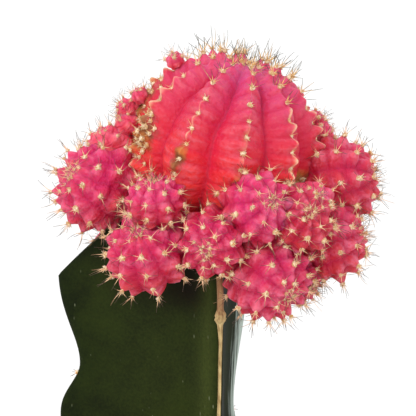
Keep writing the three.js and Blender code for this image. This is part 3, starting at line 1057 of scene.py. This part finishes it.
MOTHER_SCABS = tuple(Scab(*row) for row in (
    (-1, 87, 0.14, 12, 0.9), (-2, 86, 0.38, 18, 1.0), (-3, 78, 0.4, 28, 0.95), (0, 92, 0.13, 9, 0.65),
    (1, 93, 0.2, 8, 0.75), (1.55, 92, 0.3, 10, 1.0), (2, 94, 0.3, 11, 0.9), (5, 96, 0.35, 12, 0.7),
))
MOTHER_RIMS = (0.45, 1.9, 1.6, 0.7, 0.7, 0.6, 0.7, 2.6, 2.6, 0.6)
MOTHER_THICKETS = tuple(Thicket(*row) for row in (
    (-2, 88, 0.26, 16, 24, 0.95), (-3, 78, 0.34, 22, 28, 0.85), (1.6, 97, 0.45, 7, 10, 0.8),
    (2.8, 36, 1.5, 13, 5, 0.8),
))
MOTHER_BUNCHES = (
    SpineBunch(count=6, length=4.1, lift=54, lift_spread=30, thickness=0.1, curl=0.3, shade=(0.4, 1.0)),
    SpineBunch(count=2, length=2.0, lift=40, lift_spread=25, thickness=0.08, shade=(0.0, 0.5)),
)
OFFSET_BUNCHES = (
    SpineBunch(count=5, length=3.2, lift=34, lift_spread=28, thickness=0.09, curl=0.6, shade=(0.35, 0.9)),
    SpineBunch(
        count=5, length=3.6, lift=46, lift_spread=34, thickness=0.1, curl=0.4, length_spread=0.34,
        shade=(0.48, 1.0),
    ),
)


BUD_FORM = {"ribs": 6, "rib_steps": 10, "rings": 30, "reach": 72}
OFFSET_FORM = {
    "ribs": 9, "rib_steps": 12, "rings": 58, "reach": 118, "thickets": (Thicket(4.5, 13, 4.5, 7, 4),),
}


@dataclass
class Scion:
    """The grafted head: the mother globe, the offsets that ring her, and their wool and spines."""

    stem: "Rootstock"
    centre: Vector = Vector((1.5, 0, 188.4))
    areole_gap: tuple[float, float] = (1.9, 0.29)
    rib_play: float = 40.0
    bud_radius: float = 6.5
    neck_overlap: float = 0.62
    wool_clearance: float = 1.2
    variants: int = 7
    seed: int = 20407

    WOOL_SIZES = (0.62, 0.7, 1.2)
    SPINE_SIZES = (0.6, 0.85, 1.08)
    YOUNG = 0.4

    def __post_init__(self) -> None:
        """Works out the heads and the templates of wool and spines."""
        self.chance = random.Random(self.seed)
        self.mother = Head(
            centre=self.centre, radius=28.8, face_around=59.4, face_up=73.2, squat=0.96, ribs=10,
            rib_turn=7.9, areole_step=10.05, row_start=0.36, row_lag=-0.4, crown=9, reach=108,
            young=(26, 52), relief=MOTHER_RELIEF, scabs=MOTHER_SCABS, rims=MOTHER_RIMS,
            thickets=MOTHER_THICKETS, rib_steps=24, rings=150, blush_and_shading=0.0, seed=3.7,
        )
        self.offsets = [self._offset(place, number) for number, place in enumerate(OFFSET_PLACES)]
        self.tufts = [WoolTuft().build(self.chance) for _ in range(self.variants)]

    def _is_bud(self, radius: float) -> bool:
        """Tells whether an offset of a given radius is still a bud, with few areoles."""
        return radius < self.bud_radius

    def _offset(self, place: OffsetPlace, number: int) -> Head:
        """Returns the head that stands at an offset's place."""
        centre = self.centre + facing(place.around, 0) * place.out + UP * place.rise
        inward = self.centre - centre
        gap = inward.length - self.mother.radius - place.radius * self.neck_overlap
        base, growth = self.areole_gap
        step = math.degrees((base + growth * place.radius) / place.radius)
        form = BUD_FORM if self._is_bud(place.radius) else OFFSET_FORM
        return Head(
            centre=centre, radius=place.radius, face_around=place.face_around, face_up=place.face_up,
            rib_turn=(GOLDEN * number % 1 - 0.5) * self.rib_play, areole_step=step,
            row_start=GOLDEN * number, crown=step * 0.7, furrow=0.12, blush_and_shading=place.blush_and_shading,
            pull=inward.normalized() * max(gap, 0.0), seed=11.3 * (number + 1), **form,
        )

    def build(self, wool: Material, spine: Material) -> None:
        """Builds every piece of the head."""
        front = [head for head in self.offsets if head.centre.y < self.centre.y]
        back = [head for head in self.offsets if head.centre.y >= self.centre.y]
        flesh = OFFSET_FLESH.material()
        self._flesh("mother_globe", [self.mother], MOTHER_FLESH.material())
        for name, heads in (("offsets_front", front), ("offsets_back", back)):
            self._flesh(name, [head for head in heads if not self._is_bud(head.radius)], flesh)
        buds = [head for head in self.offsets if self._is_bud(head.radius)]
        self._flesh("offset_buds", buds, BUD_FLESH.material())
        for name, heads, bunches, crowning, horn in (
            ("mother", [self.mother], MOTHER_BUNCHES, 0.0, GOLDEN_SPINE.material()),
            ("front", front, OFFSET_BUNCHES, -0.25, spine),
            ("back", back, OFFSET_BUNCHES, -0.25, spine),
        ):
            areoles = [areole for head in heads for areole in self._open_areoles(head)]
            LOG.info("%s: %d areoles", name, len(areoles))
            self._wool(f"wool_{name}", areoles, crowning, wool)
            self._spines(f"spines_{name}", areoles, bunches, horn)

    def _flesh(self, name: str, heads: list[Head], material: Material) -> None:
        """Builds the skin of some heads as one piece."""
        bm = start_mesh(*FLESH_MARKS)
        for head in heads:
            bm.from_mesh(head.build())
        finish_piece(bm, name, material, Solid.SCION)

    def _open_areoles(self, head: Head) -> list[Areole]:
        """Returns a head's areoles that no other head and no stem covers."""
        others = [other for other in (self.mother, *self.offsets) if other is not head]
        return [
            areole for areole in head.areoles()
            if not any(other.covers(areole.at) for other in others) and not self._under_graft(areole.at)
        ]

    def _under_graft(self, point: Vector) -> bool:
        """Tells whether a point lies in or at the stem's head."""
        from_stem = math.hypot(point.x - self.stem.axis, point.y)
        low = point.z < self.stem.top + self.wool_clearance
        return low and from_stem < self.stem.shoulder + self.wool_clearance

    def _wool(self, name: str, areoles: list[Areole], crowning: float, material: Material) -> None:
        """Builds the wool of some areoles as one piece, with more or less of it on the young ones."""
        bm = start_mesh(Mark.TINT)
        for areole in areoles:
            self._seat(bm, self.tufts, areole, self.WOOL_SIZES, 1 + crowning * areole.young)
        finish_piece(bm, name, material, Solid.SCION)

    def _spines(
        self, name: str, areoles: list[Areole], rules: tuple[SpineBunch, ...], material: Material
    ) -> None:
        """Builds the spines of some areoles as one piece, by a rule for young and one for old ones."""
        young, old = ([rule.build(self.chance) for _ in range(self.variants)] for rule in rules)
        bm = start_mesh(Mark.ALONG, Mark.TINT)
        for areole in areoles:
            self._seat(bm, young if areole.young > self.YOUNG else old, areole, self.SPINE_SIZES)
        finish_piece(bm, name, material, Solid.SCION)

    def _seat(
        self, bm: BMesh, kinds: list[Mesh], areole: Areole, sizes: tuple[float, float, float],
        growth: float = 1.0,
    ) -> None:
        """Stamps a template on an areole, with its size, turn and kind left to chance.

        Args:
            bm: The piece that it is added to.
            kinds: The templates to choose from.
            areole: The areole.
            sizes: The size on the slimmest areole, and the range of the chance factor.
            growth: A further factor of the size.
        """
        least, low, high = sizes
        size = blend(least, 1, areole.girth) * self.chance.uniform(low, high) * growth
        turn = Matrix.Rotation(self.chance.uniform(0, 2 * math.pi), 4, "Z")
        matrix = Matrix.Translation(areole.at) @ areole.turn @ turn @ Matrix.Scale(size, 4)
        stamp(bm, self.chance.choice(kinds), matrix)


# Rootstock


@dataclass(frozen=True)
class Wing:
    """One wing of the rootstock: its reach at a lobe's peak, and the notches between its lobes."""

    around: float
    reach: float
    dent: float
    notch: float
    lobe: float
    spined: bool

    RISE = 0.63
    SHARPNESS = 3

    def edge(self, height: float) -> float:
        """Returns how far the wing's edge stands from the axis at a height."""
        place = (height - self.notch) / self.lobe % 1
        climb = 0.5 * place / self.RISE
        fall = 0.5 + 0.5 * (place - self.RISE) / (1 - self.RISE)
        turn = math.pi * (climb if place < self.RISE else fall)
        return self.reach - self.dent * abs(math.cos(turn)) ** self.SHARPNESS


STEM_MARKS = (Mark.CORK, Mark.BAND, Mark.BLUSH_AND_SHADING, Mark.TINT)


@dataclass
class Rootstock:
    """The green three-winged stem that carries the head."""

    axis: float = -7.3
    foot: float = 50.0
    top: float = 169.0
    core: float = 4.0
    furrow_radius: float = 8.5
    root_half: float = 6.5
    edge_half: float = 1.6
    hollow: float = 1.3
    shoulder: float = 21.8
    slope: float = 1.0
    foot_share: float = 0.6
    taper_top: float = 100.0
    shares: tuple[float, ...] = (0, 0.35, 0.7, 0.93, 1, 0.93, 0.7, 0.35)
    wings: tuple[Wing, ...] = (
        Wing(-96, 41.9, 6.3, 121.5, 47.5, True),
        Wing(24, 18.2, 1.6, 100, 60, False),
        Wing(144, 26.6, 7.2, 106, 70, True),
    )
    point_steps: int = 7
    rows: int = 110
    undulation: float = 0.35

    UNDULATION_SIZE = 14.0
    CALLUS = 0.8
    CALLUS_DEPTHS = (2.0, 0.2)
    CALLUS_HEIGHTS = (150.0, 163.0)
    # Where the grey bloom with painted sheen rises across corners, and the corners where it ends.
    BLOOM_AND_SHEEN_STEPS = ((0.05, 4.1, 6.0), (0.95, 9.1, 11.2))
    BLOOM_AND_SHEEN_END = (12.5, 13.5)
    # Painted light, laid as lighter green: a flank given by its amount and its start and end corner, cut
    # off past an end corner, and a ridge given by its amount, middle corner and spread.
    LIT_FLANK = (0.2, -3.5, 0.0)
    LIT_END = 4.0
    LIT_RIDGE = (0.45, 2.2, 0.9)
    # Painted shadows under the graft, each an amount, a corner, a spread across corners and the height
    # where it is full; they fade out below the foot height.
    PAINTED_SHADOWS = ((0.85, 0.6, 1.5, 147.0), (0.9, 6.5, 2.6, 145.0))
    PAINTED_SHADOW_FOOT = 137.0

    def wing_reach(self, wing: Wing, height: float) -> float:
        """Returns how far a wing reaches at a height, under the slope that was cut for the graft."""
        taper = blend(self.foot_share, 1, ease(height, self.foot, self.taper_top))
        return min(wing.edge(height), self._cut(height)) * taper

    def _cut(self, height: float) -> float:
        """Returns how far the slope that was cut for the graft stands from the axis at a height."""
        return self.shoulder + self.slope * (self.top - height)

    def _corner(self, step: int, height: float) -> Vector:
        """Returns one of the points that the outline passes through at a height."""
        wing = self.wings[step // len(self.shares) % len(self.wings)]
        place = step % len(self.shares)
        if place == 0:
            return facing(wing.around - 180 / len(self.wings), 0) * self.furrow_radius
        share = self.shares[place]
        side = (place > 4) - (place < 4)
        half = self.edge_half + (self.root_half - self.edge_half) * (1 - share) ** self.hollow
        along = self.core + (self.wing_reach(wing, height) - self.core) * share
        return facing(wing.around, 0) * along + facing(wing.around + 90, 0) * side * half

    def _outline(self, step: int, height: float) -> Vector:
        """Returns a point of the smooth outline, as a curve through the corners."""
        corner, part = divmod(step, self.point_steps)
        t = part / self.point_steps
        before, start, end, after = (self._corner(corner + shift, height) for shift in (-1, 0, 1, 2))
        curve = start * 2 + (end - before) * t + (before * 2 - start * 5 + end * 4 - after) * t * t
        return (curve + (start * 3 - before - end * 3 + after) * t ** 3) / 2

    def build(self) -> None:
        """Builds the stem. Its outline counts corners from those of the middle wing."""
        bm = start_mesh(*STEM_MARKS)
        layers = {mark: layer_of(bm, mark) for mark in STEM_MARKS}
        around = len(self.shares) * len(self.wings) * self.point_steps
        create_column(bm, around, self.rows)
        for vert in bm.verts:
            height = blend(self.foot, self.top, vert.co.z + 0.5)
            step = round(math.degrees(math.atan2(vert.co.x, -vert.co.y)) * around / 360) % around
            at = self._outline(step, height)
            swell = noise.noise(Vector((at.x, at.y, height)) / self.UNDULATION_SIZE) * self.undulation
            at += at.normalized() * swell
            corner = step / self.point_steps - len(self.shares)
            for mark, value in self._marks(at, corner, height).items():
                vert[layers[mark]] = value
            vert.co = Vector((self.axis + at.x, at.y, height))
        finish_piece(bm, "stem", StemFinish().material(), Solid.ROOTSTOCK)

    def _marks(self, at: Vector, corner: float, height: float) -> dict[Mark, float]:
        """Returns what the material has to know of a point: its callus, its grey bloom with painted
        sheen, painted light on a flank and a ridge, and painted shadow under the graft.
        """
        outer, inner = (self._cut(height) - depth for depth in self.CALLUS_DEPTHS)
        callus = ease(at.length, outer, inner) * ease(height, *self.CALLUS_HEIGHTS)
        # Grey bloom, partly painted sheen.
        bloom = sum(amount * ease(corner, start, end) for amount, start, end in self.BLOOM_AND_SHEEN_STEPS)
        # Painted light on a flank and a ridge.
        flank, start, end = self.LIT_FLANK
        ridge, middle, width = self.LIT_RIDGE
        paler = flank * ease(corner, start, end) * (corner < self.LIT_END)
        # Painted shadow under the graft.
        shadow_depths = [
            amount * bell(corner - place, spread) * ease(height, self.PAINTED_SHADOW_FOOT, full)
            for amount, place, spread, full in self.PAINTED_SHADOWS
        ]
        return {
            Mark.CORK: callus * self.CALLUS,
            Mark.BAND: bloom * (1 - ease(corner, *self.BLOOM_AND_SHEEN_END)),
            Mark.BLUSH_AND_SHADING: paler + ridge * bell(corner - middle, width),
            Mark.TINT: max(shadow_depths),
        }


@dataclass
class WingAreoles:
    """Small areoles in the notches of the unpared wings."""

    stem: Rootstock
    chance: random.Random
    sag: float = 3.2

    def build(self, wool: Material, spine: Material) -> None:
        """Builds the wool and the short spines."""
        tuft = WoolTuft(radius=0.7, hair_length=0.8).build(self.chance)
        rule = SpineBunch(count=4, length=1.6, lift=40, lift_spread=18, thickness=0.12, shade=(0.6, 1.0))
        bunches = [rule.build(self.chance) for _ in range(3)]
        wool_mesh = start_mesh(Mark.TINT)
        spine_mesh = start_mesh(Mark.ALONG, Mark.TINT)
        for matrix in self._places():
            stamp(wool_mesh, tuft, matrix)
            stamp(spine_mesh, self.chance.choice(bunches), matrix)
        finish_piece(wool_mesh, "stem_wool", wool, Solid.ROOTSTOCK)
        finish_piece(spine_mesh, "stem_spines", spine, Solid.ROOTSTOCK)

    def _places(self) -> list[Matrix]:
        """Returns where the areoles stand, in the notches between the lobes."""
        stem = self.stem
        places = []
        for wing in (each for each in stem.wings if each.spined):
            height = wing.notch
            while height < stem.top - stem.shoulder:
                outward = facing(wing.around, 0)
                at = Vector((stem.axis, 0, height - self.sag))
                at += outward * (stem.wing_reach(wing, height - self.sag) + 0.1)
                places.append(Matrix.Translation(at) @ upright(outward, UP))
                height += wing.lobe
        return places


@dataclass
class DriedStrip:
    """The tan strip that dried along the pared wing's edge, with a knot near its top."""

    stem: Rootstock
    foot: float = 80.5
    top: float = 153.0
    half_width: float = 0.92
    foot_half_width: float = 0.34
    flare: tuple[float, float] = (131.0, 141.0)
    half_depth: float = 0.95
    stand: float = 0.55
    knot_height: float = 141.0
    knot_spread: float = 1.7
    knot_extra: float = 0.8
    unevenness: float = 0.22
    knot_roughness: float = 0.5
    sway: float = 0.35
    sides: int = 20
    rows: int = 180

    def build(self) -> None:
        """Builds the strip."""
        wing = self.stem.wings[1]
        outward = facing(wing.around, 0)
        aside = facing(wing.around + 90, 0)
        bm = start_mesh(Mark.TINT)
        tint = layer_of(bm, Mark.TINT)
        create_column(bm, self.sides, self.rows)
        for vert in bm.verts:
            height = blend(self.foot, self.top, vert.co.z + 0.5)
            vert[tint] = ease(height, self.knot_height - 1, self.knot_height + 4)
            knot = self.knot_extra * bell(abs((height - self.knot_height) / self.knot_spread) ** 1.7, 1)
            x, y = vert.co.xy
            fibre = 1 + self.unevenness * noise.noise(Vector((x * 3, y * 3, height / 9)))
            fibre += self.knot_roughness * knot * noise.noise(Vector((x * 2, y * 2, height / 0.9)))
            half = blend(self.foot_half_width, self.half_width, ease(height, *self.flare))
            wide = (half + knot) * fibre
            deep = (self.half_depth + knot / 2) * fibre
            sway = self.sway * noise.noise(Vector((0, 0, height / 12)))
            middle = self.stem.wing_reach(wing, height) + self.stand + knot / 2
            place = outward * (middle - y * deep) + aside * (x * wide + sway)
            vert.co = place + Vector((self.stem.axis, 0, height))
        finish_piece(bm, "dried_strip", CorkFinish().material(), Solid.STRIP)


# Pot and soil


@dataclass
class Pot:
    """The round clay pot, with a band under its rim and a drain hole in its floor."""

    height: float = 86.0
    rim_radius: float = 52.0
    band: float = 18.0
    band_proud: float = 3.0
    base_radius: float = 36.0
    wall: float = 4.0
    floor: float = 6.0
    drain: float = 5.5
    lip_round: float = 1.3
    steps: int = 128
    wall_cuts: int = 24
    wobble: float = 0.16

    SAME = 0.01
    WOBBLE_SIZE = (60.0, 3.0)
    RIM_DAMP = (0.55, 7.0)
    FOOT_DAMP = (0.75, 16.0)

    def inner_radius(self, height: float) -> float:
        """Returns the radius of the inside at a height."""
        top_radius = self.rim_radius - self.band_proud
        return blend(self.base_radius, top_radius, height / self.height) - self.wall

    def build(self) -> None:
        """Builds the pot."""
        band_foot = self.height - self.band
        corners = [
            (self.drain, 0),
            (self.base_radius, 0),
            (self.inner_radius(band_foot) + self.wall, band_foot),
            (self.rim_radius, band_foot),
            (self.rim_radius, self.height),
            (self.inner_radius(self.height), self.height),
            (self.inner_radius(self.floor), self.floor),
            (self.drain, self.floor),
        ]
        bm = start_mesh(Mark.TINT)
        verts = [bm.verts.new((radius, 0, height)) for radius, height in corners]
        edges = [bm.edges.new((vert, verts[number - 1])) for number, vert in enumerate(verts)]
        bmesh.ops.spin(
            bm, geom=verts + edges, axis=(0, 0, 1), cent=(0, 0, 0), steps=self.steps,
            angle=2 * math.pi, use_merge=True,
        )
        bmesh.ops.recalc_face_normals(bm, faces=bm.faces)
        hoops = [edge for edge in bm.edges if self._is_hoop(edge)]
        bmesh.ops.bevel(
            bm, geom=hoops, offset=self.lip_round, offset_type="OFFSET", segments=4, profile=0.5,
            affect="EDGES", material=-1, clamp_overlap=True,
        )
        walls = [edge for edge in bm.edges if rise_of(edge) > self.band / 2]
        bmesh.ops.subdivide_edges(bm, edges=walls, cuts=self.wall_cuts)
        tint = layer_of(bm, Mark.TINT)
        wide, high = self.WOBBLE_SIZE
        for vert in bm.verts:
            vert[tint] = self._damp(vert.co.z)
            place = Vector((vert.co.x / wide, vert.co.y / wide, vert.co.z / high))
            if vert.co.z > self.lip_round * 2:
                vert.co.xy += vert.co.xy.normalized() * self.wobble * noise.noise(place)
        finish_piece(bm, "clay_pot", ClayFinish().material(), Solid.POT)

    def _is_hoop(self, edge: BMEdge) -> bool:
        """Tells whether an edge runs around the pot."""
        widths = [vert.co.xy.length for vert in edge.verts]
        return rise_of(edge) < self.SAME and abs(widths[0] - widths[1]) < self.SAME

    def _damp(self, height: float) -> float:
        """Returns how much lime the damp has left: most near the foot and the rim."""
        rim, rim_spread = self.RIM_DAMP
        foot, foot_spread = self.FOOT_DAMP
        return rim * bell(height - self.height, rim_spread) + foot * bell(height, foot_spread)


@dataclass
class Soil:
    """The potting soil: a low lumpy mound under loose crumbs, bark and grit."""

    pot: Pot
    top: float = 78.0
    mound: float = 1.5
    lump: float = 0.7
    clearance: float = 0.3
    around: int = 120
    rings: int = 60
    crumbs: int = 620
    shapes: int = 24
    chip_every: int = 9
    crumb_sizes: tuple[float, float] = (0.45, 1.25)
    crumb_rise: float = 0.25
    edge_margin: float = 2.2
    seed: int = 311

    def _surface(self, radius: float, angle: float) -> float:
        """Returns the height of the soil's top."""
        share = radius / self.pot.inner_radius(self.top)
        lump = self.lump * math.sin(3 * angle + radius / 5) * math.cos(radius / 4 + angle)
        return self.top + (self.mound + lump) * (1 - share ** 2)

    def build(self) -> None:
        """Builds the bed and the crumbs on it."""
        material = SoilFinish().material()
        self._bed(material)
        self._crumbs(material)

    def _bed(self, material: Material) -> None:
        """Builds the bed, closed at the pot's floor."""
        bm = start_mesh(Mark.TINT)
        tint = layer_of(bm, Mark.TINT)
        rim = self.pot.inner_radius(self.top) - self.clearance
        base = self.pot.inner_radius(self.pot.floor) - self.clearance
        bmesh.ops.create_uvsphere(bm, u_segments=self.around, v_segments=self.rings, radius=1)
        for vert in bm.verts:
            polar = polar_of(vert.co)
            angle = math.atan2(vert.co.y, vert.co.x)
            if polar < 90.5:
                radius = rim * min(polar / 90, 1)
                rough = noise.noise(Vector((math.cos(angle), math.sin(angle), 0)) * radius / 2.2)
                height = self._surface(radius, angle) + 0.5 * rough * (1 - (radius / rim) ** 6)
            else:
                radius = base * (180 - polar) / 90
                height = self.pot.floor + self.clearance
                rough = 0
            vert.co = self._place(radius, angle, height)
            vert[tint] = 0.15 + 0.2 * rough
        finish_piece(bm, "soil_bed", material, Solid.SOIL)

    def _crumbs(self, material: Material) -> None:
        """Scatters crumbs, flat bark chips and pale grit over the bed."""
        chance = random.Random(self.seed)
        shapes = [self._crumb(number) for number in range(self.shapes)]
        bm = start_mesh(Mark.TINT)
        rim = self.pot.inner_radius(self.top) - self.edge_margin
        for number in range(self.crumbs):
            radius = rim * math.sqrt(chance.random())
            angle = chance.uniform(0, 2 * math.pi)
            size = chance.uniform(*self.crumb_sizes)
            stretch = Vector((chance.uniform(0.7, 1.4), 1, chance.uniform(0.5, 0.9)))
            if number % self.shapes % self.chip_every == 0:
                stretch = Vector((chance.uniform(1.8, 3.2), 1.2, 0.35))
            at = self._place(radius, angle, self._surface(radius, angle) + self.crumb_rise * size)
            spin = Matrix.Rotation(chance.uniform(0, math.pi), 4, "Z")
            tilt = Matrix.Rotation(chance.gauss(0, 0.25), 4, "X")
            scale = Matrix.Diagonal((*(stretch * size), 1))
            stamp(bm, shapes[number % self.shapes], Matrix.Translation(at) @ spin @ tilt @ scale)
        finish_piece(bm, "soil_crumbs", material, Solid.SOIL)

    @staticmethod
    def _place(radius: float, angle: float, height: float) -> Vector:
        """Returns the point at a radius and an angle, in radians from +X, about the pot's axis."""
        return Vector((radius * math.cos(angle), radius * math.sin(angle), height))

    def _crumb(self, number: int) -> Mesh:
        """Returns a template of one lumpy crumb: peat, a bark chip, or pale grit for the last."""
        bm = start_mesh(Mark.TINT)
        tint = layer_of(bm, Mark.TINT)
        bmesh.ops.create_icosphere(bm, subdivisions=2, radius=1)
        shade = 0.65 * (number * GOLDEN % 1)
        if number % self.chip_every == 0:
            shade = 0.6
        if number == self.shapes - 1:
            shade = 1.0
        for vert in bm.verts:
            vert.co *= 1 + 0.5 * noise.noise(vert.co * 1.7 + Vector((number, 0, 0)))
            vert[tint] = shade
        return close_mesh(bm, "crumb")


# Studio


@dataclass
class Studio:
    """The pale floor, the soft light and the camera."""

    target: Vector = Vector((-3.3, 0, 170.3))
    elevation: float = 10.0
    distance: float = 480.0
    view_width: float = 124.8
    sensor: float = 36.0
    floor_size: float = 40000.0
    sky: float = 0.88
    key: float = 0.95
    front: float = 0.95
    fill: float = 0.35

    def build(self) -> None:
        """Builds the studio."""
        self._floor()
        self._world()
        self._sun("key_light", self.key, around=-42, up=50, softness=28)
        self._sun("front_light", self.front, around=-14, up=10, softness=50)
        self._sun("fill_light", self.fill, around=150, up=40, softness=60)
        self._camera()
        bpy.context.scene.view_settings.view_transform = "Standard"

    def _floor(self) -> None:
        """Lays the floor."""
        bm = start_mesh()
        bmesh.ops.create_grid(bm, x_segments=2, y_segments=2, size=self.floor_size / 2 * MM)
        mesh = close_mesh(bm, "floor")
        mesh.materials.append(FloorFinish().material())
        floor = bpy.data.objects.new("floor", mesh)
        bpy.context.scene.collection.objects.link(floor)

    def _world(self) -> None:
        """Lights the room evenly."""
        world = bpy.data.worlds.new("studio")
        Graph(world, "Background").dress(Color=(1, 1, 1), Strength=self.sky)
        bpy.context.scene.world = world

    @staticmethod
    def _sun(name: str, strength: float, around: float, up: float, softness: float) -> None:
        """Adds a soft light that shines from a given way."""
        lamp = bpy.data.lights.new(name, "SUN")
        lamp.energy = strength
        lamp.angle = math.radians(softness)
        light = bpy.data.objects.new(name, lamp)
        light.rotation_euler = facing(around, up).to_track_quat("Z", "Y").to_euler()
        bpy.context.scene.collection.objects.link(light)

    def _camera(self) -> None:
        """Stands the camera where the photograph was taken from."""
        lens = bpy.data.cameras.new("camera")
        lens.sensor_width = self.sensor
        lens.lens = self.sensor * self.distance / self.view_width
        camera = bpy.data.objects.new("camera", lens)
        way = facing(0, self.elevation)
        camera.location = (self.target + way * self.distance) * MM
        camera.rotation_euler = way.to_track_quat("Z", "Y").to_euler()
        bpy.context.scene.collection.objects.link(camera)
        bpy.context.scene.camera = camera


def main() -> None:
    """Builds the plant, its pot and the studio in order."""
    logging.basicConfig(level=logging.INFO, format="%(message)s")
    Studio().build()
    wool = WoolFinish().material()
    spine = SpineFinish().material()
    stem = Rootstock()
    scion = Scion(stem)
    scion.build(wool, spine)
    stem.build()
    WingAreoles(stem, scion.chance).build(wool, spine)
    DriedStrip(stem).build()
    pot = Pot()
    pot.build()
    Soil(pot).build()


if __name__ == "__main__":
    main()
